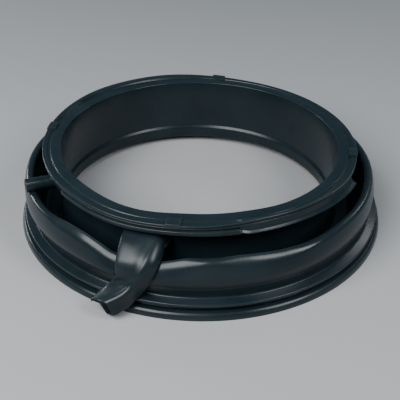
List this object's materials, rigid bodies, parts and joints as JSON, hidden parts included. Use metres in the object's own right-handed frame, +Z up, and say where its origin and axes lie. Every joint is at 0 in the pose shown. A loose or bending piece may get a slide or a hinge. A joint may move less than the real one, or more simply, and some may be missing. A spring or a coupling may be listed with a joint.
{
  "type": "washing machine door seal",
  "caption": "Round black rubber bellows for a front-loading washing machine: foot ring with a clamp groove, folded outer wall, tub flange, draped spout and side nozzle.",
  "frame": {"origin": "middle of the foot ring on the plane that it stands on", "axes": "+Z up along the ring's axis, from the front-panel side to the tub side; -Y towards the spout's side, +X to the right"},
  "size_m": [0.4, 0.4, 0.0889],
  "materials": {
    "rubber": "satin"
  },
  "bodies": {
    "root": {"door_seal": "rubber"}
  },
  "joints": []
}
